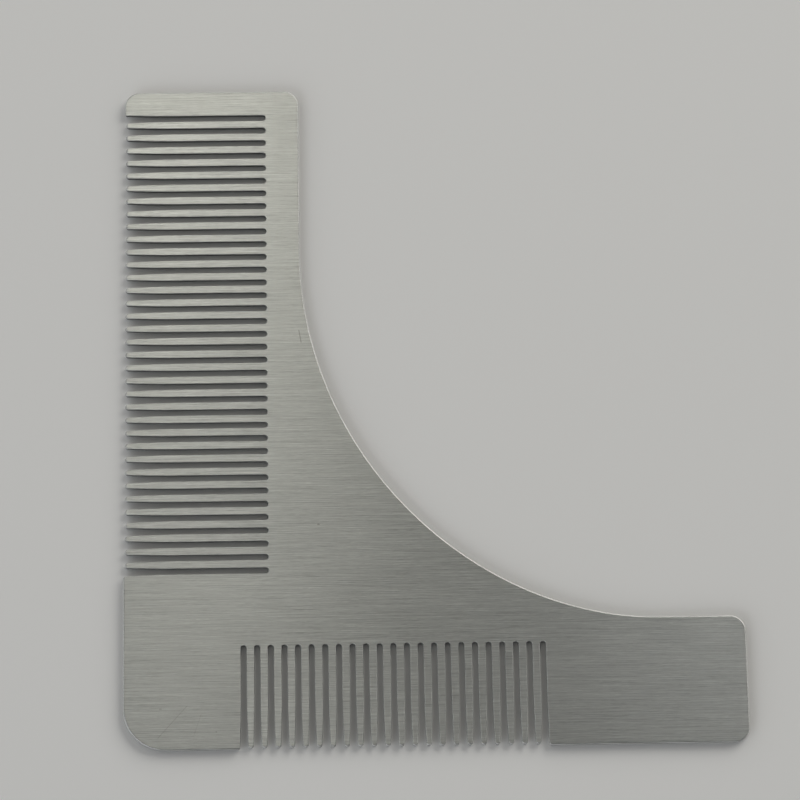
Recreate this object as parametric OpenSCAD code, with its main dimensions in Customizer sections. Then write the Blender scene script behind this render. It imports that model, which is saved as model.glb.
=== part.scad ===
// Beard comb: one flat stainless steel plate, lying on its back face.
// +X points along the handle, +Y along the upright arm, +Z out of the front face.
// The origin is on the back face, at the centre of the plate's bounding box.

/* [Plate] */
// Overall width, from the long teeth to the end of the handle
plate_w = 114.6; // [110:0.1:125]
// Overall height, from the short teeth to the end of the arm
plate_h = 125.8; // [125:0.1:135]
// Thickness of the steel sheet
plate_t = 1.0; // [0.8:0.1:2]
// Width of the upright arm, long teeth included
arm_w = 33.1; // [31:0.1:40]
// Height of the handle, short teeth included
handle_h = 23.4; // [22:0.1:30]
// Radius of the heel, the outer corner between the two rows of teeth
heel_r = 7.9; // [2:0.1:12]
// Radius of the other four outer corners
corner_r = 2.9; // [1:0.1:4]

/* [Jaw curve] */
// Height at which the jaw curve leaves the arm's inner edge
jaw_top = 94.1; // [88:0.1:100]
// Distance from the left edge at which the jaw curve runs into the handle's upper edge
jaw_end = 98.8; // [92:0.1:104]
// How far the curve holds on to the arm's direction
jaw_pull_down = 40.8; // [30:0.1:45]
// How far the curve holds on to the handle's direction
jaw_pull_left = 33.0; // [25:0.1:40]

/* [Teeth] */
// Distance between neighbouring teeth, the same in both rows
pitch = 2.5; // [2.3:0.05:2.5]
// Width of the slot between two teeth
slot_w = 1.05; // [0.8:0.05:1.2]
// Number of long teeth, on the arm's outer edge
long_count = 35; // [10:1:35]
// Depth of the long slots, measured from the left edge
long_depth = 26.8; // [20:0.1:28]
// Height of the lowest long slot's centre line
long_start = 33.0; // [30:0.1:33]
// Number of short teeth, on the bottom edge
short_count = 22; // [8:1:24]
// Depth of the short slots, measured from the bottom edge
short_depth = 19.1; // [15:0.1:20]
// Distance from the left edge to the first short slot's centre line
short_start = 22.1; // [20:0.1:26]
// Length over which a tooth narrows towards its tip
taper_len = 10; // [6:0.5:12]
// Width of a tooth at its round tip
tip_w = 1.0; // [0.8:0.05:1.2]
// How far the tips stand back from the plate's edge
tip_setback = 0.2; // [0:0.05:0.5]
// Radius of the plate's corners at the ends of a row of teeth
mouth_r = 0.4; // [0.2:0.05:0.6]

/* [Hidden] */
steel = [0.72, 0.72, 0.69];
slot_r = slot_w / 2;
tooth_w = pitch - slot_w;
tip_r = tip_w / 2;
// how far a cutting shape runs past the edge that it cuts
over = 1;
// straight steps in the jaw curve, in a tooth's taper and in a mouth's rounding
jaw_steps = 48;
taper_steps = 5;
mouth_steps = 4;
// fineness of true arcs
arc_fn = 48;

// How much one side of a tooth has narrowed at distance s from its tip
function taper(s) = s >= taper_len ? 0 :
    (tooth_w - tip_w) / 2 * pow((taper_len - s) / (taper_len - tip_r), 2);

// A point of the jaw curve, from the handle (t = 0) to the arm (t = 1)
function jaw_point(t) =
    pow(1 - t, 3) * [jaw_end, handle_h]
    + 3 * pow(1 - t, 2) * t * [jaw_end - jaw_pull_left, handle_h]
    + 3 * (1 - t) * t * t * [arm_w, jaw_top - jaw_pull_down]
    + t * t * t * [arm_w, jaw_top];

// Solid side of the last slot in a row: distance in from the edge, and how far the slot flares there
function mouth_side() = concat(
    [for (i = [0 : mouth_steps]) let (a = 90 * i / mouth_steps)
        [mouth_r * (1 - cos(a)), taper(mouth_r * (1 - cos(a))) + mouth_r * (1 - sin(a))]],
    [for (i = [1 : taper_steps]) let (s = mouth_r + (taper_len - mouth_r) * i / taper_steps)
        [s, taper(s)]]);

// Moves a plate drawn from its lower left corner so that it is centred on the origin
module place() {
    color(steel) translate([-plate_w / 2, -plate_h / 2, 0]) linear_extrude(plate_t) children();
}

// L-shaped blank: each rounded corner is a flat cut across it, filled out by a circle
module blank() {
    polygon(concat(
        [[heel_r, 0], [plate_w - corner_r, 0], [plate_w, corner_r],
         [plate_w, handle_h - corner_r], [plate_w - corner_r, handle_h]],
        [for (i = [0 : jaw_steps]) jaw_point(i / jaw_steps)],
        [[arm_w, plate_h - corner_r], [arm_w - corner_r, plate_h],
         [corner_r, plate_h], [0, plate_h - corner_r], [0, heel_r]]));
    translate([heel_r, heel_r]) circle(r = heel_r, $fn = arc_fn);
    for (centre = [[plate_w - corner_r, corner_r], [plate_w - corner_r, handle_h - corner_r],
                   [arm_w - corner_r, plate_h - corner_r], [corner_r, plate_h - corner_r]])
        translate(centre) circle(r = corner_r, $fn = arc_fn);
}

// Space that one row of teeth and its slots take up, along +Y from the first slot's centre line,
// with its mouth at x = 0: a flared bay as deep as the straight slots, and the slots' round ends
module tooth_bay(count, depth) {
    far = count * pitch + slot_r;
    near = -slot_r;
    flare = mouth_side();
    last = len(flare) - 1;
    polygon(concat(
        [[-over, near - flare[0][1]]],
        [for (p = flare) [p[0], near - p[1]]],
        [[depth - slot_r, near], [depth - slot_r, far]],
        [for (i = [last : -1 : 0]) [flare[i][0], far + flare[i][1]]],
        [[-over, far + flare[0][1]]]));
    for (i = [0 : count])
        translate([depth - slot_r, i * pitch]) circle(r = slot_r, $fn = arc_fn);
}

// One tooth, root at x = 0, pointing along +X: a narrowing bar, less what lies outside its round tip
module tooth(length) {
    side = concat([[0, tooth_w / 2]],
        [for (i = [0 : taper_steps])
            let (s = taper_len + (tip_r - taper_len) * i / taper_steps)
            [length - s, tooth_w / 2 - taper(s)]],
        [[length, tip_r]]);
    last = len(side) - 1;
    difference() {
        polygon(concat(side, [for (i = [last : -1 : 0]) [side[i][0], -side[i][1]]]));
        translate([length - tip_r, 0]) difference() {
            translate([0, -tip_w]) square([tip_w, 2 * tip_w]);
            circle(r = tip_r, $fn = arc_fn);
        }
    }
}

// The comb's back: arm, heel and handle, up to the roots of both rows of teeth
module comb_back() {
    place() difference() {
        blank();
        translate([0, long_start]) tooth_bay(long_count, long_depth);
        translate([short_start, 0]) mirror([1, -1]) tooth_bay(short_count, short_depth);
    }
}

// Long teeth on the arm's outer edge, pointing to the left
module long_teeth() {
    place() for (i = [0 : long_count - 1])
        translate([long_depth - slot_r, long_start + (i + 0.5) * pitch]) rotate(180)
            tooth(long_depth - slot_r - tip_setback);
}

// Short teeth on the bottom edge, pointing down
module short_teeth() {
    place() for (i = [0 : short_count - 1])
        translate([short_start + (i + 0.5) * pitch, short_depth - slot_r]) rotate(-90)
            tooth(short_depth - slot_r - tip_setback);
}

comb_back();
long_teeth();
short_teeth();
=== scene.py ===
"""Beard comb: one plate of brushed stainless steel, lying on its back face.

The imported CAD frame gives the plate's box and where both rows of teeth stand. The comb is rebuilt here
as one seamless mesh with broken edges and thinned tooth tips, in metres and in the frame's own axes.
"""

import math

import bmesh
import bpy
from mathutils import Matrix, Vector
from mathutils.geometry import delaunay_2d_cdt


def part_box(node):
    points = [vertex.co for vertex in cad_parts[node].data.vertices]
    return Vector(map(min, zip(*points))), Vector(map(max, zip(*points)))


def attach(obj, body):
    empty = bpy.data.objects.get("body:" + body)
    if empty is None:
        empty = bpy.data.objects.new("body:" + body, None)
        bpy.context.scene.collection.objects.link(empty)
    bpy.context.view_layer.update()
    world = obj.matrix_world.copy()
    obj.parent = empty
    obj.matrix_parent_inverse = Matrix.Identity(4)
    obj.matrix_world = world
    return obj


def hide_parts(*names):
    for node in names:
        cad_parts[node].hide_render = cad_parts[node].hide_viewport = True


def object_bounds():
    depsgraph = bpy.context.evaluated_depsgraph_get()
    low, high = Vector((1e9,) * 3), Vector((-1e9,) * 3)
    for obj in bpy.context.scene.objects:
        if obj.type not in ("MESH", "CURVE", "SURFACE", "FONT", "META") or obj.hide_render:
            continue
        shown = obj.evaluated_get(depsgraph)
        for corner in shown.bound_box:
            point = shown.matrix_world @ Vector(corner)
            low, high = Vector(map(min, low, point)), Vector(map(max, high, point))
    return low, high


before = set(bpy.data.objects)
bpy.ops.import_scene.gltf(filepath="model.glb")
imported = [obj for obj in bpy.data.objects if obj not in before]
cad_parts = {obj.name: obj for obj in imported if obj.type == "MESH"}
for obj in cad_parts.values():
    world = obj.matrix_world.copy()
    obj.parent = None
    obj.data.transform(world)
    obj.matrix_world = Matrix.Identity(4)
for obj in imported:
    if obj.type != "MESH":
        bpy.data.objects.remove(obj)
cad_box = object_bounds()

MM = 0.001

# ---------------------------------------------------------------- plate, from the frame
PLATE_LO, PLATE_HI = cad_box
PLATE_W = PLATE_HI.x - PLATE_LO.x
PLATE_H = PLATE_HI.y - PLATE_LO.y
PLATE_T = PLATE_HI.z - PLATE_LO.z
LONG_LO, LONG_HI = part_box("long_teeth")
SHORT_LO, SHORT_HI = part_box("short_teeth")

# ---------------------------------------------------------------- outline
# these and the teeth's sizes are the CAD's own, where the frame's boxes don't give them
ARM_W = 33.1 * MM
HANDLE_H = 23.4 * MM
HEEL_R = 7.9 * MM
CORNER_R = 2.9 * MM
JAW_TOP = 94.1 * MM
JAW_END = 98.8 * MM
JAW_PULL_DOWN = 40.8 * MM
JAW_PULL_LEFT = 33.0 * MM

# ---------------------------------------------------------------- teeth
LONG_COUNT = 35
SHORT_COUNT = 22
PITCH = 2.5 * MM
SLOT_R = 0.525 * MM
TOOTH_W = PITCH - 2 * SLOT_R
TAPER_LEN = 10.0 * MM
TIP_R = 0.5 * MM
MOUTH_R = 0.4 * MM

# ---------------------------------------------------------------- edges
# radius that breaks the plate's outer edges, and how far in from a slot's wall its edges are broken
EDGE_R = 0.26 * MM
SLOT_EDGE_R = 0.12 * MM
# length over which a tip is thinned, and the length of a tip's rounded end on its flat faces
TIP_THINNING = 0.35 * MM
TIP_FACE_END = 0.36 * MM
# mesh steps in a broken edge, half the wall between, a corner, a slot's round end, a tooth's side and
# tip, the mouth of a row's last slot, and the jaw
EDGE_STEPS = 5
WALL_STEPS = 2
CORNER_STEPS = 14
SLOT_END_STEPS = 12
TAPER_STEPS = 8
TIP_STEPS = 10
MOUTH_STEPS = 5
JAW_STEPS = 120


def polar(degrees):
    """Unit vector at an angle from +X."""
    return Vector((math.cos(math.radians(degrees)), math.sin(math.radians(degrees))))


def steps(first, last, count):
    """count + 1 evenly spaced numbers from first to last."""
    return [first + (last - first) * i / count for i in range(count + 1)]


def taper(s):
    """How much one side of a tooth has narrowed at distance s from its tip."""
    if s >= TAPER_LEN:
        return 0.0
    return (TOOTH_W / 2 - TIP_R) * ((TAPER_LEN - s) / (TAPER_LEN - TIP_R)) ** 2


def arc(x, y, radius, start):
    """A quarter circle, counter-clockwise from the angle start."""
    return [Vector((x, y)) + radius * polar(a) for a in steps(start, start + 90, CORNER_STEPS)]


def jaw_curve(inset):
    """The concave edge, from the handle to the arm, moved into the steel by inset."""
    knots = [Vector((JAW_END, HANDLE_H)), Vector((JAW_END - JAW_PULL_LEFT, HANDLE_H)),
             Vector((ARM_W, JAW_TOP - JAW_PULL_DOWN)), Vector((ARM_W, JAW_TOP))]
    points = []
    for t in steps(0.0, 1.0, JAW_STEPS):
        u = 1 - t
        place = (u ** 3 * knots[0] + 3 * u * u * t * knots[1]
                 + 3 * u * t * t * knots[2] + t ** 3 * knots[3])
        along = (u * u * (knots[1] - knots[0]) + 2 * u * t * (knots[2] - knots[1])
                 + t * t * (knots[3] - knots[2])).normalized()
        points.append(place + inset * Vector((-along.y, along.x)))
    return points


def mouth_side(outer, inner):
    """Solid side of a row's last slot, from the plate's edge inwards: (depth, distance past the slot)."""
    points = []
    for a in steps(0, 90, MOUTH_STEPS):
        depth = MOUTH_R - (MOUTH_R - outer) * math.cos(math.radians(a))
        points.append((depth, taper(MOUTH_R) + MOUTH_R - (MOUTH_R - inner) * math.sin(math.radians(a))))
    points += [(s, taper(s) + inner) for s in steps(MOUTH_R, TAPER_LEN, TAPER_STEPS)[1:]]
    return points


def tooth_side(length, inner, thinned):
    """One side of a tooth from its root to where its tip turns: (distance from the tip, half width)."""
    turn = TIP_THINNING * thinned + tip_turn(thinned)
    stations = [length] + steps(TAPER_LEN, turn, TAPER_STEPS)
    return [(s, TOOTH_W / 2 - taper(s) - inner) for s in stations]


def tip_turn(thinned):
    """Length of a tip's rounded end, which is blunter on the flat faces than at mid thickness."""
    return TIP_R + (TIP_FACE_END - TIP_R) * thinned


def comb_row(count, root, setback, place, ring):
    """A row's part of the outline. place turns (distance along the row, depth) into a point."""
    outer, inner, thinned = ring
    end = count * PITCH
    flare = mouth_side(outer, inner)
    points = [place(-SLOT_R - w, s) for s, w in flare]
    side = tooth_side(root - setback, inner, thinned)
    turn = tip_turn(thinned)
    for i in range(count + 1):
        slot = i * PITCH
        points += [place(slot + (SLOT_R + inner) * polar(a).x, root + (SLOT_R + inner) * polar(a).y)
                   for a in steps(180, 0, SLOT_END_STEPS)]
        if i == count:
            break
        middle = slot + PITCH / 2
        points += [place(middle - half, setback + s) for s, half in side[1:]]
        tip_s, tip_half = side[-1]
        points += [place(middle - tip_half * polar(a).x, setback + tip_s - turn * polar(a).y)
                   for a in steps(0, 180, TIP_STEPS)[1:-1]]
        points += [place(middle + half, setback + s) for s, half in reversed(side[1:])]
    points += [place(end + SLOT_R + w, s) for s, w in reversed(flare)]
    return points


def outline(ring):
    """The comb's closed outline at one height, counter-clockwise, from the plate's lower left corner."""
    outer = ring[0]
    short_x = SHORT_LO.x - PLATE_LO.x - SLOT_R
    long_y = LONG_HI.y - PLATE_LO.y + SLOT_R
    points = arc(HEEL_R, HEEL_R, HEEL_R - outer, 180)
    points += comb_row(SHORT_COUNT, SHORT_HI.y - PLATE_LO.y, SHORT_LO.y - PLATE_LO.y,
                       lambda a, s: Vector((short_x + a, s)), ring)
    points += arc(PLATE_W - CORNER_R, CORNER_R, CORNER_R - outer, 270)
    points += arc(PLATE_W - CORNER_R, HANDLE_H - CORNER_R, CORNER_R - outer, 0)
    points += jaw_curve(outer)
    points += arc(ARM_W - CORNER_R, PLATE_H - CORNER_R, CORNER_R - outer, 0)
    points += arc(CORNER_R, PLATE_H - CORNER_R, CORNER_R - outer, 90)
    points += comb_row(LONG_COUNT, LONG_HI.x - PLATE_LO.x, LONG_LO.x - PLATE_LO.x,
                       lambda a, s: Vector((s, long_y - a)), ring)
    return [p + PLATE_LO.xy for p in points]


def rings():
    """Height and (outer inset, slot inset, tip thinning) of each outline, from the back face up."""
    half = PLATE_T / 2
    heights = [EDGE_R * (1 - math.sin(math.radians(a))) for a in steps(90, 0, EDGE_STEPS)]
    heights += steps(EDGE_R, half, WALL_STEPS)[1:]
    heights += [PLATE_T - z for z in reversed(heights[:-1])]
    found = []
    for z in heights:
        near = min(z, PLATE_T - z)
        broken = 1 - math.sqrt(max(0.0, 1 - max(0.0, 1 - near / EDGE_R) ** 2))
        thinned = 1 - math.sqrt(max(0.0, 1 - (1 - near / half) ** 2))
        found.append((z + PLATE_LO.z, (EDGE_R * broken, SLOT_EDGE_R * broken, thinned)))
    return found


def flat_triangles(points):
    """Counter-clockwise triangles that fill an outline, as indices into it. Worked out in millimetres."""
    in_mm = [point / MM for point in points]
    inside_only, tolerance = 1, 1e-6
    found = delaunay_2d_cdt(in_mm, [], [list(range(len(points)))], inside_only, tolerance)
    faces, sources = found[2], found[3]
    return [[sources[corner][0] for corner in face] for face in faces]


def comb_mesh():
    """The whole comb as one closed mesh with flat faces and smooth edges. On the flat faces the u of
    the map "brush" runs across the brush lines, because that is the way highlights stretch."""
    bm = bmesh.new()
    brush = bm.loops.layers.uv.new("brush")
    loops = []
    for z, ring in rings():
        loops.append([bm.verts.new((p.x, p.y, z)) for p in outline(ring)])
    count = len(loops[0])
    walk = [0.0]
    middle = loops[len(loops) // 2]
    for i in range(count):
        walk.append(walk[-1] + (middle[(i + 1) % count].co - middle[i].co).length)
    for low, high in zip(loops, loops[1:]):
        for i in range(count):
            j = (i + 1) % count
            face = bm.faces.new((low[i], low[j], high[j], high[i]))
            face.smooth = True
            for loop, u in zip(face.loops, (walk[i], walk[i + 1], walk[i + 1], walk[i])):
                loop[brush].uv = (u / PLATE_W, loop.vert.co.z / PLATE_W)
    for a, b, c in flat_triangles(outline(rings()[0][1])):
        for corners in ([loops[-1][i] for i in (a, b, c)], [loops[0][i] for i in (c, b, a)]):
            for loop in bm.faces.new(corners).loops:
                loop[brush].uv = (loop.vert.co.y / PLATE_H, -loop.vert.co.x / PLATE_H)
    mesh = bpy.data.meshes.new("comb")
    bm.to_mesh(mesh)
    bm.free()
    return mesh


def make_comb():
    comb = bpy.data.objects.new("comb", comb_mesh())
    bpy.context.scene.collection.objects.link(comb)
    return comb


# ---------------------------------------------------------------- brushed steel
STEEL = (0.65, 0.66, 0.64, 1.0)
# painted shade: the cut walls are coloured dark so that the slots between the teeth read dark
SHADED_CUT_WALL = (0.18, 0.18, 0.175, 1.0)
BROKEN_STEEL = (0.52, 0.525, 0.515, 1.0)
MARK_STEEL = (0.20, 0.19, 0.17, 1.0)
# how level the surface is where a cut wall turns into a broken edge, and where that turns into a face
CUT_TO_BROKEN = (0.10, 0.45)
BROKEN_TO_FACE = (0.90, 0.99)
FACE_ROUGHNESS = 0.315
CUT_ROUGHNESS = 0.45
BROKEN_ROUGHNESS = 0.50
ANISOTROPY = 0.6
BUMP_DEPTH = 0.016 * MM
# how much rougher a bright brush line is, which makes it show most beside a highlight
LINE_ROUGHNESS = 0.07
# brush lines: (length, width, how much they change the steel's brightness), all along the handle
BRUSH_LINES = [(1.6 * MM, 0.11 * MM, 0.18), (3.5 * MM, 0.17 * MM, 0.13), (9.0 * MM, 0.36 * MM, 0.04)]
# how many lengths a line could run straight on, and the noise at which it is full
LINE_RUN = 6.0
LINE_FULL = 0.20
# how softly a line starts and ends, and how many widths do so together
LINE_FADE = 0.10
LINE_GROUP = 1.5
# broad soft clouds on top of the lines
CLOUD_SIZE = 18.0 * MM
CLOUD_STRENGTH = 0.03
# painted highlight: how much lighter than the plate a tooth's flat faces are painted at its tip, in the long
# and the short row, for the light its rounded tip and edges catch
LONG_TIP_HIGHLIGHT = 0.06
SHORT_TIP_HIGHLIGHT = 0.17
# handling marks on the front face, from the plate's lower left corner: (from, to, half width, how dark)
MARKS = [
    ((32.8 * MM, 78.6 * MM), (33.2 * MM, 76.3 * MM), 0.16 * MM, 0.65),
    ((6.4 * MM, 2.3 * MM), (11.7 * MM, 8.1 * MM), 0.12 * MM, 0.33),
    ((36.0 * MM, 41.5 * MM), (36.2 * MM, 41.5 * MM), 0.24 * MM, 0.6),
    ((17.0 * MM, 3.3 * MM), (17.1 * MM, 3.3 * MM), 0.18 * MM, 0.5),
    ((14.3 * MM, 6.6 * MM), (13.0 * MM, 2.8 * MM), 0.11 * MM, 0.20),
    ((6.7 * MM, 7.6 * MM), (7.0 * MM, 7.6 * MM), 0.20 * MM, 0.40),
]


class Nodes:
    """Adds nodes to one node tree. An input is a number, a colour, a vector or a socket."""

    def __init__(self, tree):
        self.tree = tree
        tree.nodes.clear()

    def add(self, kind, inputs=None, **settings):
        made = self.tree.nodes.new(kind)
        for name, value in settings.items():
            setattr(made, name, value)
        for key, value in (inputs or {}).items():
            if isinstance(value, bpy.types.NodeSocket):
                self.tree.links.new(value, made.inputs[key])
            else:
                made.inputs[key].default_value = value
        return made

    def math(self, operation, a, b=0.0, c=0.0, clamp=False):
        made = self.add("ShaderNodeMath", {0: a, 1: b, 2: c}, operation=operation, use_clamp=clamp)
        return made.outputs[0]

    def vector(self, operation, a, b):
        return self.add("ShaderNodeVectorMath", {0: a, 1: b}, operation=operation).outputs["Vector"]

    def ramp(self, value, low, high, out_low=0.0, out_high=1.0):
        """A smooth step from out_low at low to out_high at high."""
        levels = {"Value": value, "From Min": low, "From Max": high, "To Min": out_low, "To Max": out_high}
        return self.add("ShaderNodeMapRange", levels, interpolation_type="SMOOTHSTEP").outputs["Result"]

    def noise(self, place, size, detail=2.0):
        """Noise around 0 whose patches have this size along x, y and z, in metres."""
        scaled = self.vector("MULTIPLY", place, tuple(1 / s for s in size))
        level = self.add("ShaderNodeTexNoise", {"Vector": scaled, "Scale": 1.0, "Detail": detail})
        return self.math("SUBTRACT", level.outputs["Fac"], 0.5)

    def mix(self, factor, a, b):
        """Blend of two colours. A Mix node's colour sockets are its inputs 6 and 7 and its output 2."""
        return self.add("ShaderNodeMix", {0: factor, 6: a, 7: b}, data_type="RGBA").outputs[2]


def brush_lines(nodes, place):
    """Change of the steel's brightness by clouds and brush lines, around 0. A line's noise changes slowly
    along x, which keeps it straight, and a second noise makes it start and end."""
    total = nodes.math("MULTIPLY", nodes.noise(place, (CLOUD_SIZE,) * 3), CLOUD_STRENGTH)
    for length, width, strength in BRUSH_LINES:
        level = nodes.noise(place, (LINE_RUN * length, width, width), detail=0.0)
        level = nodes.ramp(level, -LINE_FULL, LINE_FULL, -1.0, 1.0)
        presence = nodes.noise(place, (length, LINE_GROUP * width, width))
        presence = nodes.ramp(presence, -LINE_FADE, LINE_FADE)
        total = nodes.math("MULTIPLY_ADD", nodes.math("MULTIPLY", level, presence), strength, total)
    return total


def tooth_tip_highlight(nodes, place):
    """Painted highlight: how much lighter the teeth are painted than the plate, growing from 0 at their
    roots.
    """
    split = nodes.add("ShaderNodeSeparateXYZ", {0: place})
    x, y = split.outputs["X"], split.outputs["Y"]
    total = 0.0
    for depth, tip, root, along, first, last, tip_highlight in (
            (x, LONG_LO.x, LONG_HI.x, y, LONG_LO.y, LONG_HI.y, LONG_TIP_HIGHLIGHT),
            (y, SHORT_LO.y, SHORT_HI.y, x, SHORT_LO.x, SHORT_HI.x, SHORT_TIP_HIGHLIGHT)):
        in_row = nodes.math("COMPARE", along, (first + last) / 2, (last - first) / 2)
        total = nodes.math("MULTIPLY_ADD", in_row, nodes.ramp(depth, tip, root, tip_highlight, 0.0), total)
    return total


def mark(nodes, place, start, end, half_width, dark):
    """How much a handling mark darkens each point: 0 away from the line from start to end."""
    along = Vector((*end, PLATE_T)) - Vector((*start, PLATE_T))
    start = PLATE_LO + Vector((*start, PLATE_T))
    offset = nodes.vector("SUBTRACT", place, start)
    reach = nodes.add("ShaderNodeVectorMath", {0: offset, 1: along / along.length_squared},
                      operation="DOT_PRODUCT").outputs["Value"]
    reach = nodes.math("ADD", reach, 0.0, clamp=True)
    nearest = nodes.add("ShaderNodeVectorMath", {0: along, "Scale": reach},
                        operation="SCALE").outputs["Vector"]
    apart = nodes.add("ShaderNodeVectorMath", {0: offset, 1: nearest}, operation="DISTANCE").outputs["Value"]
    return nodes.ramp(apart, 0.0, half_width, dark, 0.0)


def steel_material():
    """Steel brushed along the handle, with cut walls painted dark as painted shade, duller broken edges and
    a few marks.
    """
    material = bpy.data.materials.new("brushed_steel")
    material.use_nodes = True
    nodes = Nodes(material.node_tree)
    coordinates = nodes.add("ShaderNodeTexCoord")
    place = coordinates.outputs["Object"]
    facing = nodes.add("ShaderNodeSeparateXYZ", {0: coordinates.outputs["Normal"]}).outputs["Z"]
    facing = nodes.math("ABSOLUTE", facing)
    broken = nodes.ramp(facing, *CUT_TO_BROKEN)
    face = nodes.ramp(facing, *BROKEN_TO_FACE)

    lines = brush_lines(nodes, place)
    marks = 0.0
    for start, end, half_width, dark in MARKS:
        marks = nodes.math("MAXIMUM", mark(nodes, place, start, end, half_width, dark), marks)

    # colour by how level the surface is: painted shade on the cut walls, then the broken edges, then the
    # faces
    colour = nodes.mix(face, nodes.mix(broken, SHADED_CUT_WALL, BROKEN_STEEL), STEEL)
    # brightness: the brush lines, plus the teeth's painted highlight towards their tips on the flat faces
    brightness = nodes.math("MULTIPLY_ADD", face, tooth_tip_highlight(nodes, place), nodes.math("ADD", lines, 1.0))
    colour = nodes.add("ShaderNodeVectorMath", {0: colour, "Scale": brightness}, operation="SCALE")
    colour = nodes.mix(marks, colour.outputs["Vector"], MARK_STEEL)
    roughness = nodes.math("MULTIPLY_ADD", broken, BROKEN_ROUGHNESS - CUT_ROUGHNESS, CUT_ROUGHNESS)
    roughness = nodes.math("MULTIPLY_ADD", face, FACE_ROUGHNESS - BROKEN_ROUGHNESS, roughness)
    roughness = nodes.math("MULTIPLY_ADD", lines, LINE_ROUGHNESS, roughness)
    bump = nodes.add("ShaderNodeBump", {"Height": lines, "Distance": BUMP_DEPTH, "Strength": 1.0})
    across = nodes.add("ShaderNodeTangent", direction_type="UV_MAP", uv_map="brush")
    shader = nodes.add("ShaderNodeBsdfPrincipled", {
        "Base Color": colour, "Metallic": 1.0, "Roughness": roughness, "Anisotropic": ANISOTROPY,
        "Normal": bump.outputs["Normal"], "Tangent": across.outputs["Tangent"]})
    nodes.add("ShaderNodeOutputMaterial", {"Surface": shader.outputs["BSDF"]})
    return material


# ---------------------------------------------------------------- stage
FLOOR_COLOUR = (0.90, 0.90, 0.89, 1.0)
FLOOR_SIDE = 3.0
BACK_HORIZON = (1.4, 1.4, 1.4, 1.0)
FRONT_HORIZON = (0.8, 0.8, 0.8, 1.0)
ZENITH = (0.03, 0.03, 0.03, 1.0)
# where on the unit sky the front's horizon turns into the back's, and a horizon into the zenith
SKY_TURN = (-0.5, 0.5)
SKY_FADE = (0.2, 0.5)

# the view: where it aims, from the plate's lower left corner, how far off the camera is, and which
# way it looks
AIM = Vector((51.6 * MM, 64.9 * MM, PLATE_T))
VIEW_DISTANCE = 559.7 * MM
VIEW_AZIMUTH = -4.51
VIEW_ELEVATION = 77.26
VIEW_ROLL = 3.64
LENS = 134.6
SENSOR = 36.0

# softboxes, all aimed at the comb: name, centre, width, height, radiance, colour
SOFTBOXES = [
    ("overhead_back", (-0.09, 0.365, 0.80), 0.16, 0.20, 2.68, (1.0, 0.985, 0.895)),
    ("overhead_right", (0.18, 0.13, 0.80), 0.14, 0.14, 1.70, (0.99, 1.0, 0.97)),
    ("overhead_left", (-0.11, 0.04, 0.80), 0.12, 0.12, 1.5, (1.0, 1.0, 0.95)),
    ("key", (-1.15, 1.05, 0.95), 1.20, 1.00, 0.70, (1.0, 0.99, 0.97)),
    ("rim", (1.15, 1.35, 0.75), 1.60, 0.90, 4.6, (1.0, 0.97, 0.91)),
    ("fill", (-1.25, -1.15, 0.55), 1.80, 1.00, 2.0, (0.93, 0.96, 1.0)),
]


def make_floor():
    mesh = bpy.data.meshes.new("floor")
    half = FLOOR_SIDE / 2
    corners = [(-half, -half), (half, -half), (half, half), (-half, half)]
    mesh.from_pydata([(x, y, PLATE_LO.z) for x, y in corners], [], [(0, 1, 2, 3)])
    floor = bpy.data.objects.new("floor", mesh)
    bpy.context.scene.collection.objects.link(floor)
    material = bpy.data.materials.new("pale_floor")
    material.use_nodes = True
    nodes = Nodes(material.node_tree)
    shader = nodes.add("ShaderNodeBsdfDiffuse", {"Color": FLOOR_COLOUR})
    nodes.add("ShaderNodeOutputMaterial", {"Surface": shader.outputs["BSDF"]})
    mesh.materials.append(material)


def make_world():
    """A pale horizon, weaker in front, that falls off to a dim zenith: the softboxes shape the steel."""
    world = bpy.data.worlds.new("studio")
    world.use_nodes = True
    nodes = Nodes(world.node_tree)
    direction = nodes.add("ShaderNodeTexCoord").outputs["Generated"]
    direction = nodes.add("ShaderNodeSeparateXYZ", {0: direction})
    horizon = nodes.mix(nodes.ramp(direction.outputs["Y"], *SKY_TURN), FRONT_HORIZON, BACK_HORIZON)
    colour = nodes.mix(nodes.ramp(direction.outputs["Z"], *SKY_FADE), horizon, ZENITH)
    background = nodes.add("ShaderNodeBackground", {"Color": colour})
    nodes.add("ShaderNodeOutputWorld", {"Surface": background.outputs["Background"]})
    bpy.context.scene.world = world


def make_softbox(name, centre, width, height, radiance, colour):
    """A rectangular area light, whose power follows from its radiance and area."""
    light = bpy.data.lights.new(name, "AREA")
    light.shape = "RECTANGLE"
    light.size = width
    light.size_y = height
    light.energy = radiance * math.pi * width * height
    light.color = colour
    lamp = bpy.data.objects.new(name, light)
    lamp.location = centre
    lamp.rotation_euler = (-Vector(centre)).to_track_quat("-Z", "Y").to_euler()
    bpy.context.scene.collection.objects.link(lamp)


def make_camera():
    """The photograph's view: back along the line of sight from the aim, and rolled about it."""
    data = bpy.data.cameras.new("camera")
    data.lens = LENS
    data.sensor_width = SENSOR
    camera = bpy.data.objects.new("camera", data)
    turn = (Matrix.Rotation(math.radians(VIEW_AZIMUTH), 4, "Z")
            @ Matrix.Rotation(math.radians(90 - VIEW_ELEVATION), 4, "X")
            @ Matrix.Rotation(math.radians(VIEW_ROLL), 4, "Z"))
    back = turn @ Vector((0, 0, 1))
    camera.matrix_world = Matrix.Translation(PLATE_LO + AIM + back * VIEW_DISTANCE) @ turn
    bpy.context.scene.collection.objects.link(camera)
    bpy.context.scene.camera = camera


bpy.context.scene.view_settings.view_transform = "Standard"
make_camera()
make_world()
make_floor()
for softbox in SOFTBOXES:
    make_softbox(*softbox)
comb = make_comb()
comb.data.materials.append(steel_material())
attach(comb, "root")
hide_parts("comb_back", "long_teeth", "short_teeth")
